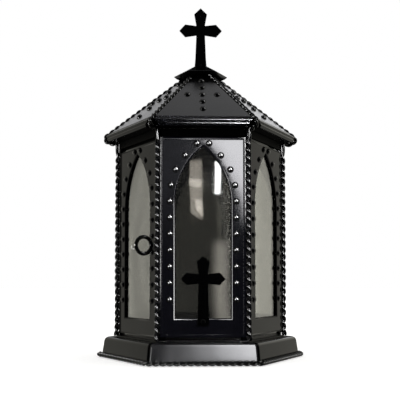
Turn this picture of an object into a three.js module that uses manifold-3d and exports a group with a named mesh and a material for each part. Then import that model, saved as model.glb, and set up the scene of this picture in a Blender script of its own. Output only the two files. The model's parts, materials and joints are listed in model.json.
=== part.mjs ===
// Hexagonal gothic grave lantern in black-enamelled sheet steel.
// Millimetres, +Z up. Origin: centre of the footprint, on the ground.
// The front face looks along -Y; the corners of the hexagon lie at 0, 60, ... 300 degrees.
// Faces are named by the angle of their outward normal: 30, 90, 150, 210, 270 (front), 330.

import * as THREE from 'three';
import { mergeVertices } from 'three/addons/utils/BufferGeometryUtils.js';
import Module from 'manifold-3d';

const wasm = await Module();
wasm.setup();

// ---------------------------------------------------------------- driving dimensions
const COS30 = Math.cos(Math.PI / 6);
const TAN30 = Math.tan(Math.PI / 6);

const AP = 81.5;            // body: distance from the axis to the outer plane of a panel
const SHEET = 1.0;          // panel sheet thickness
const LEAF_HW = 44.4;       // half width of a panel
const LEAF_Z = [27.3, 234.5];
const RIM_W = 2.6;          // folded border of a panel
const RIM_H = 0.7;
const WIN_HW = 28.7;        // lancet window: half width, sill, springing, apex
const WIN_Z0 = 46.7;
const WIN_ZS = 165.0;
const WIN_ZA = 224.6;
const FLANGE_T = 1.0;       // inward fold round the window
const FLANGE_D = 2.2;
const PANE = { hw: 33.6, z0: 40.4, z1: 228.4, n0: 2.5, t: 2.0 };
const STUD_R = 3.4;
const STUD_H = 2.4;
const STUDS = [];           // [offset along the face, height]
for (let k = 0; k < 7; k++) STUDS.push([34.3, 66.0 + 16.92 * k]);
STUDS.push([33.0, 184.3], [28.2, 200.6], [18.3, 215.3], [6.2, 227.9]);

const DOOR_DROP = 1.5;      // the door leaf hangs this much lower than the fixed panels
const DOOR_Z = [25.8, 231.9];
const HINGE_T = -41.0;      // hinge axis of the door: along the face, and its depth under the panel plane
const HINGE_N = 0.3;
const DOOR_FREE = 43.9;     // free edge of the door leaf, along the face
const BARREL_R = 1.5;
const BARREL_BORE = 1.05;
const PIN_R = 0.75;

const LATCH_T = 39.5;       // latch spindle on the door face
const LATCH_Z = 121.8;
const SPINDLE_R = 1.9;
const RING_MID_R = 8.7;
const RING_WIRE_R = 2.0;
const RING_OUT = 12.0;      // ring centre, proud of the panel

const POST_N = [1.6, 2.8];
const POST_LEG = 38.5;
const POST_LEG_DOOR = 42.0;
const POST_LEG_HINGE = 42.4;
const POST_Z = [24.1, 234.9];

const ROPE_BODY_R = 2.9;
const ROPE_BODY_AT = 95.1;
const ROPE_HIP_R = 2.8;
const ROPE_FOOT_R = 2.8;
const ROPE_FOOT_AT = 115.6;

const DECK_Z = 22.5;
const TRAY_Z = 24.1;       // raised middle of the floor, where the candle stands
const ROOF_APEX = 334.0;    // where the roof planes would meet
const HIP_SLOPE = 0.757;
const FACE_SLOPE = HIP_SLOPE / COS30;
const CAP = { r: 30.9, z: 321.0, lipR: 27.6, lipZ: 318.3, shoulderR: 10.2, shoulderZ: 332.0, topR: 7.0, topZ: 333.2 };

const FRONT_CROSS = { z0: 39.2, bar: 87.2, tip: 111.0, hw: 23.1 };

// ---------------------------------------------------------------- materials
const enamel = new THREE.MeshStandardMaterial({ color: 0x0b0b0d, roughness: 0.16, metalness: 0.0 });
const enamelInside = new THREE.MeshStandardMaterial({ color: 0x101012, roughness: 0.4, metalness: 0.0 });
const enamelRope = new THREE.MeshStandardMaterial({ color: 0x09090a, roughness: 0.22, metalness: 0.0 });
const glass = new THREE.MeshStandardMaterial({ color: 0xb9bbb0, roughness: 0.05, metalness: 0.0, transparent: true, opacity: 0.3 });
const steel = new THREE.MeshStandardMaterial({ color: 0x9a9a98, roughness: 0.35, metalness: 1.0 });

// ---------------------------------------------------------------- solids
function weld(geometry) {
  const g = geometry.clone();
  g.deleteAttribute('normal');
  g.deleteAttribute('uv');
  const m = mergeVertices(g, 1e-4);
  if (!m.index) m.setIndex([...Array(m.attributes.position.count).keys()]);
  return m;
}

function solid(geometry, matrix) {
  const g = weld(geometry);
  if (matrix) g.applyMatrix4(matrix);
  const vertProperties = new Float32Array(g.attributes.position.array);
  const src = g.index.array;
  const tri = [];
  for (let i = 0; i < src.length; i += 3) {
    if (src[i] !== src[i + 1] && src[i + 1] !== src[i + 2] && src[i] !== src[i + 2]) tri.push(src[i], src[i + 1], src[i + 2]);
  }
  return new wasm.Manifold(new wasm.Mesh({ numProp: 3, vertProperties, triVerts: new Uint32Array(tri) }));
}

function geometryOf(manifold) {
  const m = manifold.getMesh();
  const g = new THREE.BufferGeometry();
  g.setAttribute('position', new THREE.BufferAttribute(new Float32Array(m.vertProperties), 3));
  g.setIndex(new THREE.BufferAttribute(new Uint32Array(m.triVerts), 1));
  g.computeVertexNormals();
  return g;
}

function polygon(points, holes = []) {
  const s = new THREE.Shape(points.map((p) => new THREE.Vector2(p[0], p[1])));
  for (const h of holes) s.holes.push(new THREE.Path(h.map((p) => new THREE.Vector2(p[0], p[1]))));
  return s;
}

// A flat piece lying in a face: outline in (along the face, height), standing from x0 to x1
// on the face normal. In the face's own frame +X is outward and +Y runs along the face.
const FACE_BASIS = new THREE.Matrix4().makeBasis(
  new THREE.Vector3(0, 1, 0), new THREE.Vector3(0, 0, 1), new THREE.Vector3(1, 0, 0));
function onFace(points, holes, x0, x1) {
  const g = new THREE.ExtrudeGeometry(polygon(points, holes), { depth: x1 - x0, bevelEnabled: false, steps: 1 });
  g.applyMatrix4(FACE_BASIS);
  g.translate(x0, 0, 0);
  return g;
}

// A bar of constant section (distance from the axis, height) along one side of the hexagon,
// with both ends mitred to the corner planes less a gap; a third number at a point is the gap there.
function sidePiece(profile, gapAll) {
  const g = new THREE.ExtrudeGeometry(polygon(profile), { depth: 1, bevelEnabled: false, steps: 1 });
  const p = g.attributes.position;
  for (let i = 0; i < p.count; i++) {
    const a = p.getX(i), z = p.getY(i), d = p.getZ(i);
    const at = profile.find((q) => Math.abs(q[0] - a) < 1e-3 && Math.abs(q[1] - z) < 1e-3);
    const gap = at[2] ?? gapAll;
    p.setXYZ(i, a, -(2 * d - 1) * (a * TAN30 - gap), z);
  }
  return g;
}

// A ring of constant section round the whole hexagon; the profile is given in
// (distance from the axis to the side, height).
function hexRing(profile) {
  const pts = profile.map((p) => new THREE.Vector2(p[0] / COS30, p[1]));
  pts.push(pts[0].clone());
  const g = new THREE.LatheGeometry(pts, 6, Math.PI / 2);
  g.rotateX(Math.PI / 2);
  return g;
}

function orientOut(geometry) {
  // turns a closed mesh inside out when its volume is negative
  const g = weld(geometry);
  const p = g.attributes.position.array, idx = g.index.array;
  let v = 0;
  for (let i = 0; i < idx.length; i += 3) {
    const a = idx[i] * 3, b = idx[i + 1] * 3, c = idx[i + 2] * 3;
    v += p[a] * (p[b + 1] * p[c + 2] - p[b + 2] * p[c + 1])
       - p[a + 1] * (p[b] * p[c + 2] - p[b + 2] * p[c])
       + p[a + 2] * (p[b] * p[c + 1] - p[b + 1] * p[c]);
  }
  if (v < 0) for (let i = 0; i < idx.length; i += 3) { const t = idx[i]; idx[i] = idx[i + 1]; idx[i + 1] = t; }
  return g;
}

function box(x0, x1, y0, y1, z0, z1) {
  const g = new THREE.BoxGeometry(x1 - x0, y1 - y0, z1 - z0);
  g.translate((x0 + x1) / 2, (y0 + y1) / 2, (z0 + z1) / 2);
  return g;
}

function rodZ(x, y, z0, z1, r, sides = 12) {
  const g = new THREE.CylinderGeometry(r, r, z1 - z0, sides);
  g.rotateX(Math.PI / 2);
  g.translate(x, y, (z0 + z1) / 2);
  return g;
}

function rodX(x0, x1, y, z, r, sides = 12) {
  const g = new THREE.CylinderGeometry(r, r, x1 - x0, sides);
  g.rotateZ(Math.PI / 2);
  g.translate((x0 + x1) / 2, y, z);
  return g;
}

// Domed stud standing on the plane x = 0, axis +X.
function dome(r, h, sides = 8) {
  const g = new THREE.LatheGeometry(
    [[0, -0.5], [r * 1.02, -0.5], [r * 0.72, h * 0.74], [0, h]].map((p) => new THREE.Vector2(p[0], p[1])), sides);
  g.rotateZ(-Math.PI / 2);
  return orientOut(g);
}

const root = new THREE.Group();
function put(parent, name, geometry, material, angle = 0) {
  const mesh = new THREE.Mesh(geometry, material);
  mesh.name = name;
  mesh.rotation.z = THREE.MathUtils.degToRad(angle);
  parent.add(mesh);
  return mesh;
}

// ---------------------------------------------------------------- plinth
const plinthProfile = [
  [97.0, 1.0], [97.0, 5.0], [95.3, 18.3], [94.7, 20.4], [93.5, 21.9], [91.6, 22.5],
  [87.0, 22.5], [87.0, 21.4], [91.4, 21.4], [92.8, 20.9], [93.6, 19.9], [94.1, 18.2], [95.8, 5.0], [95.8, 1.0],
];
const SIDES = [[270, 'front'], [330, 'front_right'], [30, 'rear_right'], [90, 'rear'], [150, 'rear_left'], [210, 'front_left']];
for (const [ang, name] of SIDES) put(root, `plinth_side_${name}`, sidePiece(plinthProfile, 1.2), enamel, ang);

// floor plate with six angle strips that stand behind the plinth seams
const floorPlate = solid(orientOut(hexRing([
  [0.01, TRAY_Z - 1.2], [68.2, TRAY_Z - 1.2], [69.8, DECK_Z - 1.2], [86.7, DECK_Z - 1.2],
  [86.7, DECK_Z], [70.4, DECK_Z], [68.8, TRAY_Z], [0.01, TRAY_Z]])));
const cornerShell = solid(orientOut(hexRing([
  [95.4, 1.4], [95.4, 5.0], [93.7, 18.0], [93.2, 19.6], [92.4, 20.5], [91.2, 21.0], [86.8, 21.0],
  [86.4, 21.6], [79.0, 21.6], [79.0, 19.8], [91.0, 19.8], [92.0, 18.0], [94.2, 5.0], [94.2, 1.4],
])));
let spokes = null;
for (let k = 0; k < 3; k++) {
  const s = solid(box(-125, 125, -7, 7, -5, 30), new THREE.Matrix4().makeRotationZ(k * Math.PI / 3));
  spokes = spokes ? spokes.add(s) : s;
}
const centrePlug = solid(new THREE.CylinderGeometry(2, 2, 1.2, 6), new THREE.Matrix4()
  .makeTranslation(0, 0, TRAY_Z - 0.6).multiply(new THREE.Matrix4().makeRotationX(Math.PI / 2)));
put(root, 'plinth_floor', geometryOf(floorPlate.add(centrePlug).add(cornerShell.intersect(spokes))), enamelInside);

// rope round the foot
const footPts = [];
for (let k = 0; k < 8; k++) {
  const a = THREE.MathUtils.degToRad(22.5 + 45 * k);
  const rr = ROPE_FOOT_R / Math.cos(Math.PI / 8);
  footPts.push([(ROPE_FOOT_AT + rr * Math.cos(a)) * COS30, ROPE_FOOT_R + rr * Math.sin(a)]);
}
put(root, 'foot_rope', orientOut(hexRing(footPts)), enamelRope);

// ---------------------------------------------------------------- body frame
put(root, 'body_sill', orientOut(hexRing([
  [77.2, 22.8], [82.5, 22.8], [82.5, 23.8], [78.4, 23.8], [78.4, 36.0], [77.2, 36.0]])), enamelInside);
// the header stands up over the panels; its corners are cut off to let the corner ropes pass
function trimCorners(s, z0, z1) {
  for (let k = 0; k < 6; k++) {
    s = s.subtract(solid(box(91.9, 130, -25, 25, z0, z1), new THREE.Matrix4().makeRotationZ(k * Math.PI / 3)));
  }
  return s;
}
put(root, 'body_header', geometryOf(trimCorners(solid(orientOut(hexRing([
  [77.2, 229.5], [78.4, 229.5], [78.4, 235.2], [82.2, 235.2], [82.2, 243.0], [81.0, 243.0], [81.0, 236.4], [77.2, 236.4]]))),
  220, 250)), enamelInside);

// corner posts: folded angle, 120 degrees inside, its nose flattened to seat the rope
function postGeometry(legA, legB) {
  const a1 = AP - POST_N[0], a2 = AP - POST_N[1], nose = 91.7;
  const at = (a, t, s) => [a * COS30 + t * 0.5, s * (a * 0.5 - t * COS30)];
  const tn = (nose - a1 * COS30) / 0.5;   // where the outer line of a leg reaches the nose
  const pts = [
    at(a1, legB, 1), at(a1, tn, 1), at(a1, tn, -1), at(a1, legA, -1),
    at(a2, legA, -1), [a2 / COS30, 0], at(a2, legB, 1),
  ];
  const g = new THREE.ExtrudeGeometry(polygon(pts), { depth: POST_Z[1] - POST_Z[0], bevelEnabled: false });
  g.translate(0, 0, POST_Z[0]);
  return g;
}
const CORNERS = [[0, 'right'], [60, 'rear_right'], [120, 'rear_left'], [180, 'left'], [240, 'front_left'], [300, 'front_right']];
for (const [ang, name] of CORNERS) {
  // the leg on the side of the larger angle lies on the face at ang+30, the other on ang-30
  const legHi = ang === 180 ? POST_LEG_HINGE : POST_LEG;
  const legLo = ang === 240 ? POST_LEG_DOOR : POST_LEG;
  put(root, `corner_post_${name}`, postGeometry(legLo, legHi), enamelInside, ang);
}

// corner ropes, splayed a little at the foot: eight-sided sections at the given heights
const ROPE_LINE = [[2.7, 24.1], [1.7, 27.5], [0.6, 32.0], [0, 38.0], [0, 247.0]];
function ropeGeometry() {
  const pos = [], idx = [], n = 8;
  for (const [out, z] of ROPE_LINE) {
    for (let k = 0; k < n; k++) {
      const a = 2 * Math.PI * k / n + Math.PI / 8;
      pos.push(ROPE_BODY_AT + out + ROPE_BODY_R * Math.cos(a), ROPE_BODY_R * Math.sin(a), z);
    }
  }
  for (let i = 0; i < ROPE_LINE.length - 1; i++) {
    for (let k = 0; k < n; k++) {
      const p = i * n + k, q = i * n + (k + 1) % n;
      idx.push(p, q, q + n, p, q + n, p + n);
    }
  }
  const top = (ROPE_LINE.length - 1) * n;
  for (let k = 1; k < n - 1; k++) {
    idx.push(0, k + 1, k);
    idx.push(top, top + k, top + k + 1);
  }
  const g = new THREE.BufferGeometry();
  g.setAttribute('position', new THREE.Float32BufferAttribute(pos, 3));
  g.setIndex(idx);
  g.computeVertexNormals();
  return g;
}
for (const [ang, name] of CORNERS) put(root, `corner_rope_${name}`, ropeGeometry(), enamelRope, ang);

// ---------------------------------------------------------------- window panels
function lancet(off, drop, seg = 8) {
  const w = WIN_HW, h = WIN_ZA - WIN_ZS, r = (h * h + w * w) / (2 * w);
  const cx = w - r, R = r + off;
  const apexZ = Math.sqrt(R * R - cx * cx);
  const top = Math.atan2(apexZ, -cx);
  const right = [];
  for (let k = 0; k <= seg; k++) {
    const a = top * k / seg;
    right.push([cx + R * Math.cos(a), WIN_ZS - drop + R * Math.sin(a)]);
  }
  right[seg][0] = 0;
  const pts = [[-(w + off), WIN_Z0 - off - drop], [w + off, WIN_Z0 - off - drop], ...right];
  for (let k = seg - 1; k >= 0; k--) pts.push([-right[k][0], right[k][1]]);
  return pts;
}
function rect(t0, t1, z0, z1) { return [[t0, z0], [t1, z0], [t1, z1], [t0, z1]]; }

function panelSolid(z0, z1, drop, extra) {
  const win = lancet(0, drop);
  let s = solid(onFace(rect(-LEAF_HW, LEAF_HW, z0, z1), [win], AP - SHEET, AP));
  s = s.add(solid(onFace(rect(-LEAF_HW, LEAF_HW, z0, z1), [rect(-LEAF_HW + RIM_W, LEAF_HW - RIM_W, z0 + RIM_W, z1 - RIM_W)], AP - 0.5, AP + RIM_H)));
  s = s.add(solid(onFace(lancet(FLANGE_T, drop), [win], AP - FLANGE_D, AP - 0.5)));
  // folded runners that hold the pane
  const x0 = AP - 6.0;
  for (const k of [-1, 1]) {
    const t0 = Math.min(34 * k, 35 * k), t1 = Math.max(34 * k, 35 * k);
    s = s.add(solid(box(x0, AP - 0.5, t0, t1, 39 - drop, 226 - drop)));
    const l0 = Math.min(31 * k, 35 * k), l1 = Math.max(31 * k, 35 * k);
    s = s.add(solid(box(x0, x0 + 1.2, l0, l1, 39 - drop, 226 - drop)));
  }
  s = s.add(solid(box(x0, AP - 0.5, -35, 35, 39 - drop, 40 - drop)));
  s = s.add(solid(box(x0, x0 + 1.2, -35, 35, 39 - drop, 43 - drop)));
  const d = dome(STUD_R, STUD_H);
  for (const [t, z] of STUDS) {
    for (const k of [-1, 1]) s = s.add(solid(d, new THREE.Matrix4().makeTranslation(AP, k * t, z - drop)));
  }
  return extra ? extra(s) : s;
}
const fixedPanel = geometryOf(panelSolid(LEAF_Z[0], LEAF_Z[1], 0));
for (const [ang, name] of SIDES) if (ang !== 210) put(root, `panel_${name}`, fixedPanel, enamel, ang);
for (const [ang, name] of SIDES) {
  const drop = ang === 210 ? DOOR_DROP : 0;
  put(root, `pane_${name}`, onFace(rect(-PANE.hw, PANE.hw, PANE.z0 - drop, PANE.z1 - drop), [], AP - PANE.n0 - PANE.t, AP - PANE.n0), glass, ang);
}

// ---------------------------------------------------------------- door (face 210) and its latch
const HX = AP - HINGE_N, HY = HINGE_T;
const doorSolid = panelSolid(DOOR_Z[0], DOOR_Z[1], DOOR_DROP, (s) => {
  // hinge side of the leaf ends in the rolled barrel
  s = s.subtract(solid(box(AP - 2, AP + 2, -60, HINGE_T, 0, 260)));
  s = s.subtract(solid(box(AP - 2, AP + 2, DOOR_FREE, 60, 0, 260)));
  s = s.add(solid(rodZ(HX, HY, DOOR_Z[0], DOOR_Z[1], BARREL_R, 12)));
  s = s.subtract(solid(rodZ(HX, HY, DOOR_Z[1] - 11, DOOR_Z[1] + 1, BARREL_BORE, 12)));
  s = s.subtract(solid(rodZ(HX, HY, DOOR_Z[0] - 1, DOOR_Z[0] + 11, BARREL_BORE, 12)));
  // round seat for the ring's rosette, level with the folded border
  s = s.add(solid(rodX(AP - 0.4, AP + RIM_H, LATCH_T, LATCH_Z, 3.6, 16)));
  return s.subtract(solid(rodX(AP - 3, AP + 3, LATCH_T, LATCH_Z, SPINDLE_R + 0.35, 12)));
});
put(root, 'door_panel', geometryOf(doorSolid), enamel, 210);

function pintle(zKnuckle0, zKnuckle1, zPin0, zPin1) {
  return solid(rodZ(HX, HY, zKnuckle0, zKnuckle1, 1.6, 12))
    .add(solid(box(AP - 1.3, HX, HY - 2.9, HY + 1.6, zKnuckle0, zKnuckle1)))
    .add(solid(rodZ(HX, HY, zPin0, zPin1, PIN_R, 12)));
}
put(root, 'hinge_pintle_top', geometryOf(pintle(232.3, 234.9, 222.5, 233.5)), enamel, 210);
put(root, 'hinge_pintle_bottom', geometryOf(pintle(24.1, 25.4, 24.6, 35.5)), enamel, 210);

// ring handle: wire ring standing on edge, its spindle through the leaf, and a curled wire end
const ringCentreX = AP + RING_OUT;
const torus = new THREE.TorusGeometry(RING_MID_R, RING_WIRE_R, 8, 20);
torus.rotateX(Math.PI / 2);
const ringM = solid(orientOut(torus), new THREE.Matrix4().makeTranslation(ringCentreX, LATCH_T, LATCH_Z));
const curl = new THREE.TorusGeometry(2.0, 0.75, 6, 10);
curl.rotateX(Math.PI / 2);
// the wire is filed flat where it passes over the rosette
const ringHandle = ringM
  .subtract(solid(rodX(AP, AP + 2.2, LATCH_T, LATCH_Z, 4.4, 16)))
  .add(solid(rodX(AP - 7.4, ringCentreX - RING_MID_R, LATCH_T, LATCH_Z, SPINDLE_R, 12)))
  .add(solid(orientOut(curl), new THREE.Matrix4().makeTranslation(ringCentreX + 11.6, LATCH_T, LATCH_Z - 2.2)));
put(root, 'ring_handle', geometryOf(ringHandle), enamel, 210);

const washer = solid(rodX(AP + RIM_H + 0.3, AP + RIM_H + 1.2, LATCH_T, LATCH_Z, 3.6, 16))
  .subtract(solid(rodX(AP - 1, AP + 3, LATCH_T, LATCH_Z, SPINDLE_R + 0.35, 12)));
put(root, 'latch_washer', geometryOf(washer), steel, 210);

// cam: hangs down when the ring stands upright, turns behind the corner post when the ring is level
const camShape = [];
for (let k = 0; k <= 6; k++) camShape.push([2.9 * Math.cos(Math.PI * k / 6), 2.9 * Math.sin(Math.PI * k / 6)]);
camShape.push([-2.3, -5.2], [-1.4, -5.7], [1.4, -5.7], [2.3, -5.2]);
const cam = solid(onFace(camShape.map((p) => [LATCH_T + p[0], LATCH_Z + p[1]]), [], AP - 4.8, AP - 3.3))
  .subtract(solid(rodX(AP - 6, AP - 2, LATCH_T, LATCH_Z, SPINDLE_R + 0.3, 12)));
put(root, 'latch_cam', geometryOf(cam), steel, 210);
const latchNut = solid(rodX(AP - 7.0, AP - 5.1, LATCH_T, LATCH_Z, 3.3, 6))
  .subtract(solid(rodX(AP - 8, AP - 4, LATCH_T, LATCH_Z, SPINDLE_R + 0.3, 12)));
put(root, 'latch_nut', geometryOf(latchNut), steel, 210);

// ---------------------------------------------------------------- crosses
function crossOutline(z0, bar, tip, hw, foot, neck, arm, armTip) {
  // z0 foot, bar height, tip height, hw half width, half widths: foot, neck; arm half height root/tip
  const r = [
    [foot, z0], [neck, bar - arm], [hw - armTip, bar - arm - 1.5], [hw, bar],
    [hw - armTip, bar + arm + 1.5], [neck - 0.2, bar + arm], [neck + 2.2, tip - armTip], [0, tip]];
  const l = r.slice(0, -1).reverse().map((p) => [-p[0], p[1]]);
  return [...r, ...l];
}
const frontCross = crossOutline(FRONT_CROSS.z0, FRONT_CROSS.bar, FRONT_CROSS.tip, FRONT_CROSS.hw, 6.1, 4.9, 5.0, 6.0);
const RIVET_Z = 43.4;
put(root, 'front_cross', geometryOf(solid(onFace(frontCross, [], AP + 0.3, AP + 2.1))
  .subtract(solid(rodX(AP - 1, AP + 4, 0, RIVET_Z, 1.7, 10)))), enamel, 270);
const rivet = solid(dome(3.0, 2.0, 10), new THREE.Matrix4().makeTranslation(AP + 2.9, 0, RIVET_Z))
  .add(solid(rodX(AP + 0.3, AP + 2.6, 0, RIVET_Z, 1.35, 10)));
put(root, 'front_cross_rivet', geometryOf(rivet), enamel, 270);

// ---------------------------------------------------------------- roof
const zRoof = (a) => ROOF_APEX - FACE_SLOPE * a;
const roofProfile = [
  [15.0, zRoof(15.0)], [90.8, zRoof(90.8)], [91.9, 253.4, 3.8], [92.2, 252.0, 4.2], [94.6, 251.5, 4.6],
  [95.9, 250.3, 5.0], [95.9, 249.2, 5.6], [94.9, 248.2, 6.6], [95.9, 247.2, 8.0], [96.1, 246.0, 8.6],
  [95.3, 244.4, 9.0], [93.9, 243.6, 9.0], [83.0, 243.6, 5.5], [83.0, 244.6, 5.5], [93.2, 244.6, 9.0],
  [94.0, 245.8, 9.0], [93.6, 248.3, 6.6], [93.2, 250.4, 5.0], [91.0, 250.9, 4.4], [90.6, 252.3, 4.0],
  [89.4, zRoof(89.4) - 1.35], [15.0, zRoof(15.0) - 1.35],
];
function roofPlate() {
  let s = solid(orientOut(sidePiece(roofProfile, 3.6)));
  // five studs down the middle and one each side: a cross
  const slope = Math.atan(FACE_SLOPE);
  const d = dome(STUD_R, STUD_H);
  const place = (a, t) => {
    const m = new THREE.Matrix4().makeTranslation(a, t, zRoof(a));
    m.multiply(new THREE.Matrix4().makeRotationY(-(Math.PI / 2 - slope)));
    s = s.add(solid(d, m));
  };
  for (const a of [29.5, 42.0, 54.5, 66.7, 79.0]) place(a, 0);
  place(54.5, 16.0);
  place(54.5, -16.0);
  return geometryOf(s);
}
const plateGeo = roofPlate();
for (const [ang, name] of SIDES) put(root, `roof_plate_${name}`, plateGeo, enamel, ang);

// inner frame: foot ring on the header, six hip strips and the throat ring, one weldment
const HIP_DROP = 3.95;
const stripShell = solid(orientOut(hexRing([
  [13.2, zRoof(13.2) - HIP_DROP], [86.0, zRoof(86.0) - HIP_DROP], [86.0, zRoof(86.0) - HIP_DROP - 1.3], [13.2, zRoof(13.2) - HIP_DROP - 1.3]])));
let strips = null;
for (let k = 0; k < 3; k++) {
  const s = solid(box(-125, 125, -7.5, 7.5, 200, 340), new THREE.Matrix4().makeRotationZ(k * Math.PI / 3));
  strips = strips ? strips.add(s) : s;
}
const footRing = trimCorners(solid(orientOut(hexRing([
  [78.0, 243.4], [82.2, 243.4], [82.2, 244.6], [79.2, 244.6], [79.2, zRoof(79.2) - 4.6], [78.0, zRoof(78.0) - 4.6]]))), 240, 252);
const throat = solid(orientOut(hexRing([
  [13.2, 311.5], [14.5, 311.5], [14.5, 317.4], [13.2, 318.5]])));
put(root, 'roof_frame', geometryOf(footRing.add(stripShell.intersect(strips)).add(throat)), enamelInside);

// hip ropes: down the hip, round the eave corner and back under it to the corner rope
const zHip = (r) => ROOF_APEX - HIP_SLOPE * r;
const HIP_LINE = [[17.0, zHip(17.0)], [107.2, zHip(107.2)], [109.5, 250.4], [109.3, 247.4], [107.0, 244.6], [103.4, 242.9], [99.0, 242.4]];
function rodAlong(line, r, n = 8) {
  const pos = [], idx = [], last = line.length - 1;
  line.forEach(([x, z], i) => {
    const p = line[Math.max(i - 1, 0)], q = line[Math.min(i + 1, last)];
    const len = Math.hypot(q[0] - p[0], q[1] - p[1]);
    const nx = -(q[1] - p[1]) / len, nz = (q[0] - p[0]) / len;
    for (let k = 0; k < n; k++) {
      const a = 2 * Math.PI * (k + 0.5) / n;
      pos.push(x + nx * r * Math.cos(a), r * Math.sin(a), z + nz * r * Math.cos(a));
    }
    if (i === last) return;
    for (let k = 0; k < n; k++) {
      const a = i * n + k, b = i * n + (k + 1) % n;
      idx.push(a, b, b + n, a, b + n, a + n);
    }
  });
  for (let k = 1; k < n - 1; k++) {
    idx.push(0, k + 1, k);
    idx.push(last * n, last * n + k, last * n + k + 1);
  }
  const g = new THREE.BufferGeometry();
  g.setAttribute('position', new THREE.Float32BufferAttribute(pos, 3));
  g.setIndex(idx);
  return orientOut(g);
}
for (const [ang, name] of CORNERS) put(root, `hip_rope_${name}`, rodAlong(HIP_LINE, ROPE_HIP_R), enamelRope, ang);

// vent cap, its spacer and bridge, the finial cross with its stud and nut
put(root, 'roof_cap', orientOut(hexRing([
  [2.7 * COS30, CAP.topZ], [CAP.topR * COS30, CAP.topZ], [CAP.shoulderR * COS30, CAP.shoulderZ], [CAP.r * COS30, CAP.z], [CAP.lipR * COS30, CAP.lipZ],
  [(CAP.lipR - 0.8) * COS30, CAP.lipZ + 0.4], [(CAP.r - 2.4) * COS30, CAP.z - 0.1], [(CAP.shoulderR - 0.6) * COS30, CAP.shoulderZ - 1.2],
  [(CAP.topR - 0.4) * COS30, CAP.topZ - 1.3], [2.7 * COS30, CAP.topZ - 1.3],
])), enamel);
const spacer = solid(rodZ(0, 0, 320.7, 331.6, 4.3, 12)).subtract(solid(rodZ(0, 0, 320, 333, 2.5, 12)));
put(root, 'cap_spacer', geometryOf(spacer), steel);
const bridge = solid(box(-13.7, 13.7, -4.8, 4.8, 318.9, 320.4)).subtract(solid(rodZ(0, 0, 318, 321, 2.5, 12)));
put(root, 'cap_bridge', geometryOf(bridge), steel);
// finial: plate cross on a threaded stud
const finialOutline = [
  [6.9, 333.5], [5.0, 370.2], [17.9, 368.2], [24.6, 375.5], [17.9, 382.8], [4.9, 381.2], [7.4, 395.0], [0, 402.2],
];
const finialPts = [...finialOutline, ...finialOutline.slice(0, -1).reverse().map((p) => [-p[0], p[1]])];
const finial = solid(onFace(finialPts, [], -1.25, 1.25)).add(solid(rodZ(0, 0, 311.5, 335.5, 1.9, 12)));
put(root, 'finial_cross', geometryOf(finial), enamel, 270);
const nut = solid(rodZ(0, 0, 314.2, 318.6, 4.6, 6)).subtract(solid(rodZ(0, 0, 313, 320, 2.25, 12)));
put(root, 'finial_nut', geometryOf(nut), steel);

export default root;
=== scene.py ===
"""Hexagonal gothic grave lantern: fine surfaces, finishes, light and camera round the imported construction.
Lengths in the tables below are millimetres; they become metres where a mesh is written."""

import json
import math

import bmesh
import bpy
import numpy as np
from mathutils import Matrix, Vector
from mathutils.geometry import delaunay_2d_cdt

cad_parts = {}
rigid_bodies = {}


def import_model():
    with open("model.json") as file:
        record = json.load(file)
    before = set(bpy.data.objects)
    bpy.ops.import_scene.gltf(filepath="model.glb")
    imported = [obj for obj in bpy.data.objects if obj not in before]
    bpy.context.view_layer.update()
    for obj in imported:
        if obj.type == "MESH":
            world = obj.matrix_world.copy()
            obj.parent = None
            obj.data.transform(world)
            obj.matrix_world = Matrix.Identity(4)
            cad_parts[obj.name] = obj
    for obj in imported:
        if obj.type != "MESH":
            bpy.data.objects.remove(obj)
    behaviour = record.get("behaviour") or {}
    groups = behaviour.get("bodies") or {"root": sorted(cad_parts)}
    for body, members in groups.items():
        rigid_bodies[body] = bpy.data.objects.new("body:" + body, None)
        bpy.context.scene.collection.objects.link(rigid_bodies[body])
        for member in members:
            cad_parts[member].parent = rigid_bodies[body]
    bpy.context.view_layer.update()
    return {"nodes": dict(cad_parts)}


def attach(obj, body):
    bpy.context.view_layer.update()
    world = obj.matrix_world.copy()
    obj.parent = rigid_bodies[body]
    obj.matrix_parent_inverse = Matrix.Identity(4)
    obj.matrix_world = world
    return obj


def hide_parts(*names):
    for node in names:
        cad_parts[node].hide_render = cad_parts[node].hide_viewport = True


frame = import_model()

# ------------------------------------------------------------------ dimensions, as in the construction
COS30 = math.cos(math.pi / 6)
TAN30 = math.tan(math.pi / 6)
AP = 81.5
LEAF_HW = 44.4
LEAF_Z = (27.3, 234.5)
WIN_HW = 28.7
WIN_Z0, WIN_ZS, WIN_ZA = 46.7, 165.0, 224.6
DOOR_DROP = 1.5
DOOR_Z = (25.8, 231.9)
DOOR_FREE = 43.9
HINGE_T, HINGE_X = -41.0, AP - 0.3
LATCH_T, LATCH_Z = 39.5, 121.8
ROOF_APEX = 334.0
HIP_SLOPE = 0.757
FACE_SLOPE = HIP_SLOPE / COS30
STUDS = [(34.3, 66.0 + 16.92 * k) for k in range(7)] + [(33.0, 184.3), (28.2, 200.6), (18.3, 215.3), (6.2, 227.9)]
SIDES = {"front": 270, "front_right": 330, "rear_right": 30, "rear": 90, "rear_left": 150, "front_left": 210}
CORNERS = {"right": 0, "rear_right": 60, "rear_left": 120, "left": 180, "front_left": 240, "front_right": 300}


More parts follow.
